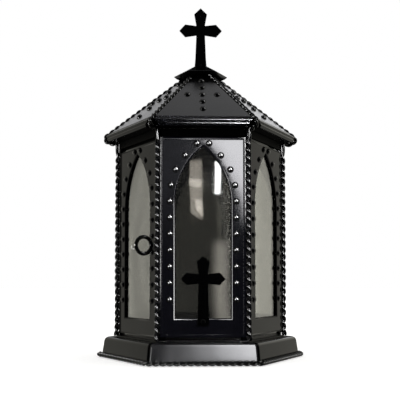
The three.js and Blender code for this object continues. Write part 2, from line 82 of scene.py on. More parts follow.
# ------------------------------------------------------------------ mesh helpers
class Build:
    """Collects vertices and faces in millimetres, in a face's or a corner's own frame."""

    def __init__(self):
        self.v, self.f = [], []

    def add(self, verts, faces):
        base = len(self.v)
        self.v.extend(tuple(map(float, p)) for p in verts)
        self.f.extend(tuple(base + i for i in f) for f in faces)

    def rows(self, rows, wrap=True, loop=False):
        """Quads between successive rows of points. wrap closes each row, loop joins the last row to the first."""
        n = len(rows[0])
        verts = [p for r in rows for p in r]
        faces = []
        m = len(rows)
        for i in range(m if loop else m - 1):
            j = (i + 1) % m
            for k in range(n if wrap else n - 1):
                q = (k + 1) % n
                faces.append((i * n + k, i * n + q, j * n + q, j * n + k))
        self.add(verts, faces)

    def cap(self, ring):
        self.add(ring, [tuple(range(len(ring)))])


def add_flat(b, outer, holes, place):
    """A flat region with holes, triangulated; place(u, v) gives the 3-D point."""
    pts, edges = [], []
    for loop in [outer, *holes]:
        s = len(pts)
        pts += [Vector(p) for p in loop]
        edges += [(s + i, s + (i + 1) % len(loop)) for i in range(len(loop))]
    verts, _, faces, *_ = delaunay_2d_cdt(pts, edges, [], 0, 1e-7)

    def inside(p, loop):
        hit = False
        for i in range(len(loop)):
            (x0, y0), (x1, y1) = loop[i], loop[(i + 1) % len(loop)]
            if (y0 > p[1]) != (y1 > p[1]) and p[0] < (x1 - x0) * (p[1] - y0) / (y1 - y0) + x0:
                hit = not hit
        return hit

    keep = []
    for f in faces:
        c = [sum(verts[i][k] for i in f) / 3 for k in (0, 1)]
        if inside(c, outer) and not any(inside(c, h) for h in holes):
            keep.append(tuple(f))
    b.add([place(p[0], p[1]) for p in verts], keep)


def finish_mesh(b, name, material, body, replaces=(), turn=0.0, sharp=32.0, weld=0.004, bevel=None):
    """Writes a Build as an object turned about Z, welded, with outward faces, smooth except at edges over sharp degrees."""
    me = bpy.data.meshes.new(name)
    me.from_pydata([Vector(p) * 0.001 for p in b.v], [], b.f)
    bm = bmesh.new()
    bm.from_mesh(me)
    bmesh.ops.remove_doubles(bm, verts=bm.verts, dist=weld * 0.001)
    loose = [v for v in bm.verts if not v.link_faces]
    if loose:
        bmesh.ops.delete(bm, geom=loose, context="VERTS")
    bmesh.ops.recalc_face_normals(bm, faces=bm.faces)
    bm.to_mesh(me)
    bm.free()
    me.transform(Matrix.Rotation(math.radians(turn), 4, "Z"))
    for p in me.polygons:
        p.use_smooth = True
    me.set_sharp_from_angle(angle=math.radians(sharp))
    me.materials.append(material)
    ob = bpy.data.objects.new(name, me)
    bpy.context.scene.collection.objects.link(ob)
    if bevel:
        m = ob.modifiers.new("edge", "BEVEL")
        m.width = bevel * 0.001
        m.segments = 2
        m.limit_method = "ANGLE"
        m.angle_limit = math.radians(40)
        m.harden_normals = False
        m.use_clamp_overlap = True
    w = ob.modifiers.new("shade", "WEIGHTED_NORMAL")
    w.keep_sharp = True
    w.weight = 80
    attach(ob, body)
    if replaces:
        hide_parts(*replaces)
    return ob


def lancet(off, drop=0.0, n=22):
    """The window outline in (along, height), grown by off; the same number of points at every off."""
    w, h = WIN_HW, WIN_ZA - WIN_ZS
    r = (h * h + w * w) / (2 * w)
    cx, rad = w - r, r + off
    top = math.atan2(math.sqrt(rad * rad - cx * cx), -cx)
    right = [(cx + rad * math.cos(top * k / n), WIN_ZS - drop + rad * math.sin(top * k / n)) for k in range(n + 1)]
    right[n] = (0.0, right[n][1])
    pts = [(-(w + off), WIN_Z0 - off - drop), (w + off, WIN_Z0 - off - drop), *right]
    return pts + [(-t, z) for t, z in reversed(right[:-1])]


def rect(t0, t1, z0, z1, s=0.0):
    return [(t0 + s, z0 + s), (t1 - s, z0 + s), (t1 - s, z1 - s), (t0 + s, z1 - s)]


DOME = [(3.62, 0.0), (3.5, 0.16), (3.34, 0.5), (3.05, 1.0), (2.6, 1.52), (2.0, 1.96), (1.3, 2.25), (0.6, 2.39)]


def stud_loop(u, v, n=22, r=DOME[0][0]):
    return [(u + r * math.cos(2 * math.pi * k / n), v + r * math.sin(2 * math.pi * k / n)) for k in range(n)]


def add_stud(b, u, v, place, n=22):
    """The raised part of a stud: place(u, v, h) gives the 3-D point at height h over the sheet."""
    rows = [[place(u + r * math.cos(2 * math.pi * k / n), v + r * math.sin(2 * math.pi * k / n), h) for k in range(n)] for r, h in DOME]
    b.rows(rows)
    s = [place(u, v, 2.42), *rows[-1]]
    b.add(s, [(0, 1 + k, 1 + (k + 1) % n) for k in range(n)])


def add_prism(b, ring, axis, a0, a1):
    """A closed prism: ring of (p, q) swept along axis 'x', 'y' or 'z' from a0 to a1."""
    def at(p, q, a):
        return {"x": (a, p, q), "y": (p, a, q), "z": (p, q, a)}[axis]
    lo, hi = [at(p, q, a0) for p, q in ring], [at(p, q, a1) for p, q in ring]
    n = len(ring)
    b.add(lo + hi, [(k, (k + 1) % n, n + (k + 1) % n, n + k) for k in range(n)] + [tuple(range(n)), tuple(range(n, 2 * n))])


def add_turned(b, profile, centre, axis, n=28, closed=False):
    """A turned solid: profile of (radius, along) round an axis through centre. closed joins the profile's ends (a ring)."""
    c, ax = Vector(centre), Vector(axis).normalized()
    u = ax.orthogonal().normalized()
    w = ax.cross(u)
    rows = []
    for r, h in profile:
        rows.append([c + ax * h + (u * math.cos(2 * math.pi * k / n) + w * math.sin(2 * math.pi * k / n)) * max(r, 1e-4) for k in range(n)])
    b.rows(rows, loop=closed)


def add_torus(b, centre, axis, big, small, n=48, m=16, start=0.0, turn=2 * math.pi):
    c, ax = Vector(centre), Vector(axis).normalized()
    u = Vector((0, 0, 1)) if abs(ax.z) < 0.9 else Vector((1, 0, 0))
    w = ax.cross(u)
    full = abs(turn - 2 * math.pi) < 1e-6
    rows = []
    for i in range(n if full else n + 1):
        a = start + turn * i / n
        d = u * math.cos(a) + w * math.sin(a)
        rows.append([c + d * (big + small * math.cos(2 * math.pi * k / m)) + ax * small * math.sin(2 * math.pi * k / m) for k in range(m)])
    b.rows(rows, loop=full)
    if not full:
        b.cap(rows[0])
        b.cap(rows[-1])


def add_rope(b, points, side, pitch, strand=1.5, twist=None, hand=-1.0, m=12, closed=False, phase=0.0):
    """Two strands laid round a centre line. points are close together; side(i) is a unit vector across the line;
    twist gives the turn at each point where it isn't even (a straightened end)."""
    p = np.array(points, float)
    n = len(p)
    if closed:
        t = np.roll(p, -1, 0) - np.roll(p, 1, 0)
        step = np.linalg.norm(np.roll(p, -1, 0) - p, axis=1)
        s = np.concatenate([[0], np.cumsum(step)[:-1]])
        total = float(step.sum())
        pitch = total / round(total / pitch)
    else:
        t = np.gradient(p, axis=0)
        s = np.concatenate([[0], np.cumsum(np.linalg.norm(np.diff(p, axis=0), axis=1))])
    t /= np.linalg.norm(t, axis=1)[:, None]
    sides = np.array([side(i) for i in range(n)], float)
    nrm = sides - (sides * t).sum(1)[:, None] * t
    nrm /= np.linalg.norm(nrm, axis=1)[:, None]
    bi = np.cross(t, nrm)
    th = hand * 2 * math.pi * s / pitch if twist is None else hand * np.array(twist)
    th = th + phase
    for k in range(2):
        a = th + math.pi * k
        rad = np.cos(a)[:, None] * nrm + np.sin(a)[:, None] * bi
        c = p + strand * rad
        if closed:
            ct = np.roll(c, -1, 0) - np.roll(c, 1, 0)
        else:
            ct = np.gradient(c, axis=0)
        ct /= np.linalg.norm(ct, axis=1)[:, None]
        e1 = rad - (rad * ct).sum(1)[:, None] * ct
        e1 /= np.linalg.norm(e1, axis=1)[:, None]
        e2 = np.cross(ct, e1)
        rows = []
        for i in range(n):
            rows.append([c[i] + strand * 0.985 * (math.cos(2 * math.pi * j / m) * e1[i] + math.sin(2 * math.pi * j / m) * e2[i]) for j in range(m)])
        b.rows(rows, loop=closed)
        if not closed:
            b.cap(rows[0])
            b.cap(rows[-1])


# ------------------------------------------------------------------ materials
def new_material(name):
    m = bpy.data.materials.new(name)
    m.use_nodes = True
    nt = m.node_tree
    return m, nt, nt.nodes["Principled BSDF"]


def enamel(name, base, rough, rough_span, wave, wave_scale, grain, spec=0.4, coat=0.0, dust=0.0):
    """Black stove enamel on sheet steel: slight unevenness in the gloss, long soft waves in the sheet and a fine orange peel."""
    m, nt, bs = new_material(name)
    L, N = nt.links, nt.nodes
    bs.inputs["Metallic"].default_value = 0.0
    bs.inputs["IOR"].default_value = 1.5
    bs.inputs["Specular IOR Level"].default_value = spec
    bs.inputs["Coat Weight"].default_value = coat
    bs.inputs["Coat Roughness"].default_value = 0.04
    tc = N.new("ShaderNodeTexCoord")
    cloud = N.new("ShaderNodeTexNoise")
    cloud.inputs["Scale"].default_value = 34.0
    cloud.inputs["Detail"].default_value = 5.0
    cloud.inputs["Roughness"].default_value = 0.62
    L.new(tc.outputs["Object"], cloud.inputs["Vector"])
    rr = N.new("ShaderNodeMapRange")
    rr.inputs["From Min"].default_value = 0.3
    rr.inputs["From Max"].default_value = 0.75
    rr.inputs["To Min"].default_value = rough
    rr.inputs["To Max"].default_value = rough + rough_span
    L.new(cloud.outputs["Fac"], rr.inputs["Value"])
    L.new(rr.outputs["Result"], bs.inputs["Roughness"])
    ramp = N.new("ShaderNodeValToRGB")
    ramp.color_ramp.elements[0].position = 0.42
    ramp.color_ramp.elements[0].color = (*base, 1)
    ramp.color_ramp.elements[1].position = 0.8
    ramp.color_ramp.elements[1].color = (*[c * 1.5 + dust for c in base], 1)
    L.new(cloud.outputs["Fac"], ramp.inputs["Fac"])
    L.new(ramp.outputs["Color"], bs.inputs["Base Color"])
    long = N.new("ShaderNodeTexNoise")
    long.inputs["Scale"].default_value = wave_scale
    long.inputs["Detail"].default_value = 1.5
    L.new(tc.outputs["Object"], long.inputs["Vector"])
    b1 = N.new("ShaderNodeBump")
    b1.inputs["Strength"].default_value = 1.0
    b1.inputs["Distance"].default_value = wave
    L.new(long.outputs["Fac"], b1.inputs["Height"])
    peel = N.new("ShaderNodeTexNoise")
    peel.inputs["Scale"].default_value = 900.0
    peel.inputs["Detail"].default_value = 2.0
    L.new(tc.outputs["Object"], peel.inputs["Vector"])
    b2 = N.new("ShaderNodeBump")
    b2.inputs["Strength"].default_value = 1.0
    b2.inputs["Distance"].default_value = grain
    L.new(peel.outputs["Fac"], b2.inputs["Height"])
    L.new(b1.outputs["Normal"], b2.inputs["Normal"])
    L.new(b2.outputs["Normal"], bs.inputs["Normal"])
    return m


# a glossier copy of the panel enamel for the studs, so that they catch brighter highlights: painted highlight
STUD_HIGHLIGHT_MAT = enamel("enamel_stud", (0.0005, 0.0005, 0.0006), 0.05, 0.03, 0.0004, 30.0, 0.000001, spec=0.5)
PANEL_MAT = enamel("enamel_panel", (0.0004, 0.0004, 0.0006), 0.05, 0.05, 0.0010, 9.0, 0.0000012, spec=0.13)
ROOF_MAT = enamel("enamel_roof", (0.0006, 0.0006, 0.0007), 0.13, 0.06, 0.0008, 12.0, 0.000003, spec=0.2)
# a near-unreflecting copy of the enamel for the roof frame and header under the eave, so that they read black as if in
# shade: painted shade
SHADE_ENAMEL_MAT = enamel("enamel_dark", (0.0006, 0.0006, 0.0006), 0.45, 0.12, 0.0004, 22.0, 0.000006, spec=0.02)
EAVE_MAT = enamel("enamel_eave", (0.0005, 0.0005, 0.0006), 0.10, 0.05, 0.0006, 14.0, 0.000002, spec=0.12)
PLINTH_MAT = enamel("enamel_plinth", (0.0005, 0.0005, 0.0006), 0.10, 0.06, 0.0007, 14.0, 0.000003, spec=0.12)
ROPE_MAT = enamel("enamel_wire", (0.0003, 0.0003, 0.0004), 0.12, 0.05, 0.0001, 60.0, 0.000003, spec=0.2)
CROSS_MAT = enamel("enamel_cross", (0.0008, 0.0008, 0.001), 0.14, 0.08, 0.0003, 30.0, 0.000003, spec=0.16)
INSIDE_MAT = enamel("enamel_inside", (0.003, 0.003, 0.003), 0.32, 0.12, 0.0004, 22.0, 0.000006, spec=0.25, dust=0.002)


def steel_material():
    m, nt, bs = new_material("zinc_steel")
    L, N = nt.links, nt.nodes
    bs.inputs["Metallic"].default_value = 1.0
    tc = N.new("ShaderNodeTexCoord")
    nz = N.new("ShaderNodeTexNoise")
    nz.inputs["Scale"].default_value = 260.0
    nz.inputs["Detail"].default_value = 6.0
    L.new(tc.outputs["Object"], nz.inputs["Vector"])
    ramp = N.new("ShaderNodeValToRGB")
    ramp.color_ramp.elements[0].color = (0.30, 0.30, 0.29, 1)
    ramp.color_ramp.elements[1].color = (0.56, 0.56, 0.54, 1)
    L.new(nz.outputs["Fac"], ramp.inputs["Fac"])
    L.new(ramp.outputs["Color"], bs.inputs["Base Color"])
    rr = N.new("ShaderNodeMapRange")
    rr.inputs["To Min"].default_value = 0.25
    rr.inputs["To Max"].default_value = 0.5
    L.new(nz.outputs["Fac"], rr.inputs["Value"])
    L.new(rr.outputs["Result"], bs.inputs["Roughness"])
    return m


STEEL_MAT = steel_material()


def glass_material():
    m, nt, bs = new_material("window_glass")
    L, N = nt.links, nt.nodes
    bs.inputs["Base Color"].default_value = (0.20, 0.20, 0.185, 1)
    bs.inputs["Transmission Weight"].default_value = 1.0
    bs.inputs["IOR"].default_value = 1.9
    tc = N.new("ShaderNodeTexCoord")
    nz = N.new("ShaderNodeTexNoise")
    nz.inputs["Scale"].default_value = 45.0
    nz.inputs["Detail"].default_value = 6.0
    nz.inputs["Roughness"].default_value = 0.7
    L.new(tc.outputs["Object"], nz.inputs["Vector"])
    rr = N.new("ShaderNodeMapRange")
    rr.inputs["From Min"].default_value = 0.35
    rr.inputs["From Max"].default_value = 0.8
    rr.inputs["To Min"].default_value = 0.008
    rr.inputs["To Max"].default_value = 0.05
    L.new(nz.outputs["Fac"], rr.inputs["Value"])
    L.new(rr.outputs["Result"], bs.inputs["Roughness"])
    wv = N.new("ShaderNodeTexNoise")
    wv.inputs["Scale"].default_value = 10.0
    wv.inputs["Detail"].default_value = 1.0
    L.new(tc.outputs["Object"], wv.inputs["Vector"])
    b1 = N.new("ShaderNodeBump")
    b1.inputs["Strength"].default_value = 1.0
    b1.inputs["Distance"].default_value = 0.0002
    L.new(wv.outputs["Fac"], b1.inputs["Height"])
    L.new(b1.outputs["Normal"], bs.inputs["Normal"])
    return m


GLASS_MAT = glass_material()


# ------------------------------------------------------------------ window panels
# (inset from the edge, height over the sheet): folded border with a groove inside it
RIM = [(0.0, -1.0), (0.0, -0.24), (0.1, -0.09), (0.25, -0.02), (1.78, 0.36), (1.95, 0.38), (2.1, 0.35), (2.74, 0.19), (2.83, 0.1), (2.9, 0.0)]
WIN_EDGE = [(1.9, 0.0), (1.5, -0.05), (1.0, -0.24), (0.56, -0.58), (0.22, -1.05), (0.04, -1.55), (0.0, -2.0), (0.12, -2.2), (0.88, -2.2),
            (1.0, -2.05), (1.0, -1.0)]


def panel(name, ang, t0, t1, z0, z1, drop, body, replaces, door=False):
    b = Build()

    def at(h):
        return lambda u, v: (AP + h, u, v)

    b.rows([[(AP + h, t, z) for t, z in rect(t0, t1, z0, z1, s)] for s, h in RIM])
    studs = [(k * t, z - drop) for t, z in STUDS for k in (-1, 1)]
    add_flat(b, rect(t0, t1, z0, z1, RIM[-1][0]), [lancet(WIN_EDGE[0][0], drop)] + [stud_loop(t, z) for t, z in studs], at(0.0))
    for t, z in studs:
        add_stud(b, t, z, lambda u, v, h: (AP + h, u, v))
    b.rows([[(AP + h, t, z) for t, z in lancet(o, drop)] for o, h in WIN_EDGE])
    add_flat(b, rect(t0, t1, z0, z1), [lancet(1.0, drop)], at(-1.0))
    # runners that hold the pane
    for k in (-1, 1):
        add_prism(b, [(AP - 0.9, 34 * k), (AP - 0.9, 35 * k), (AP - 6, 35 * k), (AP - 6, 31 * k), (AP - 4.8, 31 * k), (AP - 4.8, 34 * k)], "z", 39 - drop, 226 - drop)
    add_prism(b, [(AP - 0.9, 39 - drop), (AP - 0.9, 40 - drop), (AP - 4.8, 40 - drop), (AP - 4.8, 43 - drop), (AP - 6, 43 - drop), (AP - 6, 39 - drop)], "y", -33.95, 33.95)
    if door:
        # rolled hinge barrel with a socket at each end
        zb, zt, d = z0, z1, 10.8
        add_turned(b, [(1.05, zb + d), (1.05, zb + 0.1), (1.15, zb), (1.4, zb), (1.5, zb + 0.12), (1.5, zt - 0.12), (1.4, zt), (1.15, zt), (1.05, zt - 0.1), (1.05, zt - d)],
                   (HINGE_X, HINGE_T, 0), (0, 0, 1), n=20)
        for zz in (zb + d, zt - d):
            b.cap([Vector((HINGE_X, HINGE_T, zz)) + Vector((math.cos(a), math.sin(a), 0)) * 1.05 for a in [2 * math.pi * k / 20 for k in range(20)]])
        # seat of the ring's rosette
        add_turned(b, [(0.3, -0.6), (3.6, -0.6), (3.6, 0.5), (3.45, 0.7), (0.3, 0.7)], (AP, LATCH_T, LATCH_Z), (1, 0, 0), n=36)
    ob = finish_mesh(b, name, PANEL_MAT, body, replaces, turn=ang)
    # the pressed studs take a copy of the panel enamel with about four times the specular level, for brighter
    # highlights: painted highlight
    ob.data.materials.append(STUD_HIGHLIGHT_MAT)
    back = Matrix.Rotation(math.radians(-ang), 3, "Z")
    for p in ob.data.polygons:
        c = back @ p.center * 1000.0
        if c.x > AP + 0.05 and any((c.y - t) ** 2 + (c.z - z) ** 2 < DOME[0][0] ** 2 for t, z in studs):
            p.material_index = 1
    return ob


for side_name, ang in SIDES.items():
    if side_name == "front_left":
        panel("door_panel_fine", ang, HINGE_T, DOOR_FREE, *DOOR_Z, DOOR_DROP, "door", ["door_panel"], door=True)
    else:
        panel(f"panel_{side_name}_fine", ang, -LEAF_HW, LEAF_HW, *LEAF_Z, 0.0, "lantern", [f"panel_{side_name}"])

# ------------------------------------------------------------------ roof plates
# (distance from the axis, height, gap to the hip along the eave): rolled edge, two beads, soffit turned in
EAVE = [(90.75, 254.6, 3.6), (91.15, 254.15, 3.6), (91.5, 253.6, 3.7), (91.75, 253.0, 3.8), (91.9, 252.5, 3.9), (92.3, 252.1, 4.1),
        (93.0, 251.85, 4.3), (93.8, 251.7, 4.5), (94.5, 251.5, 4.6), (95.1, 251.15, 4.7), (95.55, 250.7, 4.8), (95.8, 250.2, 5.0),
        (95.85, 249.7, 5.2), (95.7, 249.2, 5.5), (95.35, 248.8, 5.9), (95.05, 248.45, 6.3), (95.0, 248.1, 6.7), (95.2, 247.8, 7.1),
        (95.6, 247.45, 7.6), (95.9, 247.0, 8.0), (96.05, 246.4, 8.4), (96.0, 245.75, 8.7), (95.75, 245.1, 8.9), (95.3, 244.5, 9.0),
        (94.7, 243.95, 9.0), (94.1, 243.68, 9.0), (93.4, 243.6, 9.0), (83.0, 243.6, 5.5), (83.0, 244.6, 5.5), (93.2, 244.6, 9.0),
        (94.0, 245.8, 9.0), (93.6, 248.3, 6.6), (93.2, 250.4, 5.0), (91.0, 250.9, 4.4), (90.6, 252.3, 4.0)]
ROOF_STUDS = [(29.5, 0.0), (42.0, 0.0), (54.5, 0.0), (66.7, 0.0), (79.0, 0.0), (54.5, 16.0), (54.5, -16.0)]
ROOF_COS = 1 / math.hypot(1, FACE_SLOPE)


def roof_z(a):
    return ROOF_APEX - FACE_SLOPE * a


def roof_plate(name, ang, replaces):
    b = Build()
    gap = 3.6

    def hw(a, g=gap):
        return a * TAN30 - g

    def on_plane(u, v, h=0.0):
        # u: distance from the axis, v: along the eave, h: over the sheet, at right angles to it
        return (u + h * FACE_SLOPE * ROOF_COS, v, roof_z(u) + h * ROOF_COS)

    a0, a1 = 15.0, 90.3
    outer = [(a0, -hw(a0)), (a1, -hw(a1)), (a1, hw(a1)), (a0, hw(a0))]
    stretch = 1 / ROOF_COS

    def loop(u, v):
        n = 22
        return [(u + DOME[0][0] * math.cos(2 * math.pi * k / n) / stretch, v + DOME[0][0] * math.sin(2 * math.pi * k / n)) for k in range(n)]

    add_flat(b, outer, [loop(u, v) for u, v in ROOF_STUDS], lambda u, v: on_plane(u, v))
    for u, v in ROOF_STUDS:
        add_stud(b, u, v, lambda p, q, h, u=u: on_plane(u + (p - u) / stretch, q, h))
    under = [(a1, roof_z(a1), gap), (a1 - 0.2, roof_z(a1 - 0.2) - 1.35, gap), (a0, roof_z(a0) - 1.35, gap), (a0, roof_z(a0), gap)]
    b.rows([[(a, -hw(a, g), z), (a, hw(a, g), z)] for a, z, g in under], wrap=False)
    for s in (-1, 1):
        b.add([(a, s * hw(a, g), z) for a, z, g in under], [(0, 1, 2, 3)])
    plate = finish_mesh(b, name, ROOF_MAT, "lantern", replaces, turn=ang)
    b = Build()
    prof = [(a1, roof_z(a1) - 0.01, gap)] + EAVE + [(89.4, roof_z(89.4) - 1.3, gap), (89.5, roof_z(89.5) - 0.1, gap)]
    b.rows([[(a, -hw(a, g), z), (a, hw(a, g), z)] for a, z, g in prof + prof[:1]], wrap=False)
    for s in (-1, 1):
        add_flat_ring(b, [(a, s * hw(a, g), z) for a, z, g in prof])
    finish_mesh(b, name.replace("plate", "eave"), EAVE_MAT, "lantern", (), turn=ang)
    return plate


def add_flat_ring(b, ring):
    """A flat end closed over a ring of 3-D points that isn't convex, triangulated by its (x, z) outline."""
    flat = [(p[0], p[2]) for p in ring]
    table = {(round(p[0], 4), round(p[2], 4)): p for p in ring}
    ys = [(p[0], p[1]) for p in ring]
    (xa, ya), (xb, yb) = min(ys), max(ys)

    def place(u, v):
        hit = table.get((round(u, 4), round(v, 4)))
        return hit if hit else (u, ya + (yb - ya) * (u - xa) / (xb - xa), v)

    add_flat(b, flat, [], place)


for side_name, ang in SIDES.items():
    roof_plate(f"roof_plate_{side_name}_fine", ang, [f"roof_plate_{side_name}"])

# ------------------------------------------------------------------ plinth
PLINTH = [(97.0, 1.0), (97.0, 5.0), (95.35, 17.9), (95.1, 19.2), (94.6, 20.3), (93.9, 21.3), (93.0, 22.0), (92.0, 22.4), (91.2, 22.5),
          (87.0, 22.5), (87.0, 21.4), (91.2, 21.4), (92.3, 21.1), (93.1, 20.5), (93.7, 19.6), (94.1, 18.2), (95.8, 5.0), (95.8, 1.0)]


def outline_normals(pts, last):
    out = []
    for k in range(last):
        (a0, z0), (a1, z1) = pts[max(k - 1, 0)], pts[min(k + 1, last)]
        d = math.hypot(a1 - a0, z1 - z0)
        out.append(((z1 - z0) / d, -(a1 - a0) / d))
    return out


PLINTH_NORMAL = outline_normals(PLINTH, 9) + [(0.0, 1.0)]


def plinth_side(name, ang, replaces):
    b = Build()
    gap = 1.2
    # the ends are folded back: (inset from the end, how far the outer skin has fallen away)
    fold = [(0.0, 0.95), (0.25, 0.72), (0.6, 0.47), (0.95, 0.24), (1.25, 0.08), (1.7, 0.0)]

    def pull(k, fall):
        # the outer skin moves in, the inner skin stays
        a, z = PLINTH[k]
        if k > 9:
            return a, z
        nx, nz = PLINTH_NORMAL[k]
        return a - nx * fall, z - nz * fall

    n = len(PLINTH)
    rows = []
    for k in list(range(n)) + [0]:
        left, right = [], []
        for inset, fall in fold:
            a, z = pull(k, fall)
            h = PLINTH[k][0] * TAN30 - gap - inset
            left.append((a, -h, z))
            right.append((a, h, z))
        rows.append(left + right[::-1])
    b.rows(rows, wrap=False)
    for s in (-1, 1):
        ring = []
        for k in range(n):
            a, z = pull(k, fold[0][1])
            ring.append((a, s * (PLINTH[k][0] * TAN30 - gap), z))
        add_flat_ring(b, ring)
    return finish_mesh(b, name, PLINTH_MAT, "lantern", replaces, turn=ang)


for side_name, ang in SIDES.items():
    plinth_side(f"plinth_side_{side_name}_fine", ang, [f"plinth_side_{side_name}"])

# ------------------------------------------------------------------ ropes
PITCH = 15.8
STEP = PITCH / 20


def line_points(a, b, step=STEP):
    a, b = np.array(a, float), np.array(b, float)
    n = max(2, int(round(np.linalg.norm(b - a) / step)))
    return [a + (b - a) * k / n for k in range(n + 1)]


def smooth_line(points, step=STEP):
    """A Catmull-Rom curve through (out, height) points, at even steps."""
    p = np.array(points, float)
    p = np.vstack([2 * p[0] - p[1], p, 2 * p[-1] - p[-2]])
    fine = []
    for i in range(1, len(p) - 2):
        n = max(4, int(np.linalg.norm(p[i + 1] - p[i]) / 0.1))
        for u in np.arange(n) / n:
            fine.append(0.5 * (2 * p[i] + (p[i + 1] - p[i - 1]) * u + (2 * p[i - 1] - 5 * p[i] + 4 * p[i + 1] - p[i + 2]) * u * u
                               + (3 * p[i] - p[i - 1] - 3 * p[i + 1] + p[i + 2]) * u ** 3))
    fine = np.array(fine + [p[-2]])
    d = np.concatenate([[0], np.cumsum(np.linalg.norm(np.diff(fine, axis=0), axis=1))])
    n = int(round(d[-1] / step))
    at = np.linspace(0, d[-1], n + 1)
    return [(np.interp(a, d, fine[:, 0]), 0.0, np.interp(a, d, fine[:, 1])) for a in at]


def z_hip(r):
    return ROOF_APEX - HIP_SLOPE * r


ROPE_R = 94.75
HIP_LINE = [(17.0, z_hip(17.0)), (40.0, z_hip(40.0)), (75.0, z_hip(75.0)), (100.0, z_hip(100.0)), (106.6, z_hip(106.6)), (109.3, 250.6),
            (109.3, 247.4), (107.0, 244.6), (103.4, 242.9), (99.2, 242.4)]
for k, (corner, ang) in enumerate(CORNERS.items()):
    b = Build()
    zs = np.arange(24.1, 246.8, STEP)
    out = np.where(zs < 38, 0.7 * ((38 - zs) / 14) ** 2, 0.0)
    pts = [(ROPE_R + o, 0, z) for z, o in zip(zs, out)]
    top = 231.0 + 1.7 * (k % 3)
    ease = np.where(zs < top - 6, zs, top - 6 + 6 * (1 - np.exp(-(np.maximum(zs, top - 6) - top + 6) / 6)))
    # laid so that one strand stands in front of the other where the twist ends
    add_rope(b, pts, lambda i: (0, 1, 0), PITCH, strand=1.54, twist=2 * math.pi * ease / PITCH, phase=-math.pi / 2 + 2 * math.pi * top / PITCH)
    finish_mesh(b, f"corner_rope_{corner}_fine", ROPE_MAT, "lantern", [f"corner_rope_{corner}"], turn=ang, sharp=60)
    b = Build()
    low = [(r, z - 1.5) for r, z in HIP_LINE[:5]] + [(108.9, 249.6), (109.0, 246.9), (107.0, 244.3), *HIP_LINE[8:]]
    add_rope(b, smooth_line(low), lambda i: (0, 1, 0), PITCH * 0.97, strand=1.4, phase=1.3 * k)
    finish_mesh(b, f"hip_rope_{corner}_fine", ROPE_MAT, "lantern", [f"hip_rope_{corner}"], turn=ang, sharp=60)

# rope round the foot: one closed line with small rounded corners
b = Build()
R, rc = 115.05, 5.0
corner_pts = [np.array([R * math.cos(math.radians(60 * k)), R * math.sin(math.radians(60 * k))]) for k in range(6)]
path = []
cut = rc * math.tan(math.pi / 6)
for k in range(6):
    c, prev, nxt = corner_pts[k], corner_pts[k - 1], corner_pts[(k + 1) % 6]
    d0, d1 = (c - prev) / np.linalg.norm(c - prev), (nxt - c) / np.linalg.norm(nxt - c)
    centre = c - c / np.linalg.norm(c) * rc / COS30
    arc = [centre + rc * np.array([math.cos(60 * math.pi / 180 * k - math.pi / 6 + math.pi / 3 * j / 6), math.sin(60 * math.pi / 180 * k - math.pi / 6 + math.pi / 3 * j / 6)]) for j in range(7)]
    path += arc
    start, end = arc[-1], nxt - d1 * cut
    n = int(round(np.linalg.norm(end - start) / STEP))
    path += [start + (end - start) * j / n for j in range(1, n)]
path3 = [(p[0], p[1], 2.95) for p in path]
add_rope(b, path3, lambda i: (0, 0, 1), 14.1, strand=1.45, closed=True)
finish_mesh(b, "foot_rope_fine", ROPE_MAT, "lantern", ["foot_rope"], sharp=60)

# ------------------------------------------------------------------ cap, crosses, rivet
b = Build()
CAP = [(2.7, 333.2), (6.6, 333.2), (7.9, 332.95), (9.2, 332.45), (10.4, 331.85), (29.9, 321.5), (30.6, 321.15), (30.85, 320.75), (27.8, 318.45),
       (27.4, 318.3), (27.0, 318.55), (28.5, 320.9), (9.6, 330.8), (6.6, 331.9), (2.7, 331.9)]
rows = [[(r * math.cos(math.radians(60 * k)), r * math.sin(math.radians(60 * k)), z) for k in range(6)] for r, z in CAP]
b.rows(rows, loop=True)
finish_mesh(b, "roof_cap_fine", ROOF_MAT, "lantern", ["roof_cap"], sharp=38, bevel=0.35)


def plate_cross(name, outline, x0, x1, ang, mat, replaces, extra=None, bevel=0.45):
    b = Build()
    pts = outline + [(-t, z) for t, z in reversed(outline[:-1])]
    n = len(pts)
    lo, hi = [(x0, t, z) for t, z in pts], [(x1, t, z) for t, z in pts]
    b.add(lo + hi, [(k, (k + 1) % n, n + (k + 1) % n, n + k) for k in range(n)])
    add_flat(b, pts, [], lambda u, v: (x0, u, v))
    add_flat(b, pts, [], lambda u, v: (x1, u, v))
    if extra:
        extra(b)
    return finish_mesh(b, name, mat, "lantern", replaces, turn=ang, bevel=bevel)


def finial_stud(b):
    add_turned(b, [(0, 311.5), (1.7, 311.5), (1.9, 311.8), (1.9, 335.5), (0, 335.5)], (0, 0, 0), (0, 0, 1), n=20)


plate_cross("finial_cross_fine", [(6.9, 333.5), (6.1, 343.0), (5.0, 370.2), (17.9, 368.2), (24.6, 375.5), (17.9, 382.8), (4.9, 381.2), (7.4, 395.0), (0.0, 402.2)],
            -1.25, 1.25, 270, CROSS_MAT, ["finial_cross"], finial_stud)
plate_cross("front_cross_fine", [(6.1, 39.2), (4.9, 82.2), (17.1, 80.7), (23.1, 87.2), (17.1, 93.7), (4.7, 92.2), (7.1, 105.0), (0.0, 111.0)],
            AP + 0.3, AP + 2.1, 270, CROSS_MAT, ["front_cross"])
b = Build()
add_turned(b, [(0, -0.2), (3.0, -0.2), (3.0, 0.1), (2.8, 0.75), (2.3, 1.35), (1.5, 1.8), (0.7, 1.97), (0, 2.0)], (AP + 2.9 - 0.5, 0, 43.4), (1, 0, 0), n=24)
add_turned(b, [(0, 0.3), (1.35, 0.3), (1.35, 2.6), (0, 2.6)], (AP, 0, 43.4), (1, 0, 0), n=16)
finish_mesh(b, "front_cross_rivet_fine", CROSS_MAT, "lantern", ["front_cross_rivet"], turn=270)

# ------------------------------------------------------------------ ring handle and latch
b = Build()
cx = AP + 12.0
add_torus(b, (cx, LATCH_T, LATCH_Z), (0, 1, 0), 8.7, 2.0, n=72, m=20)
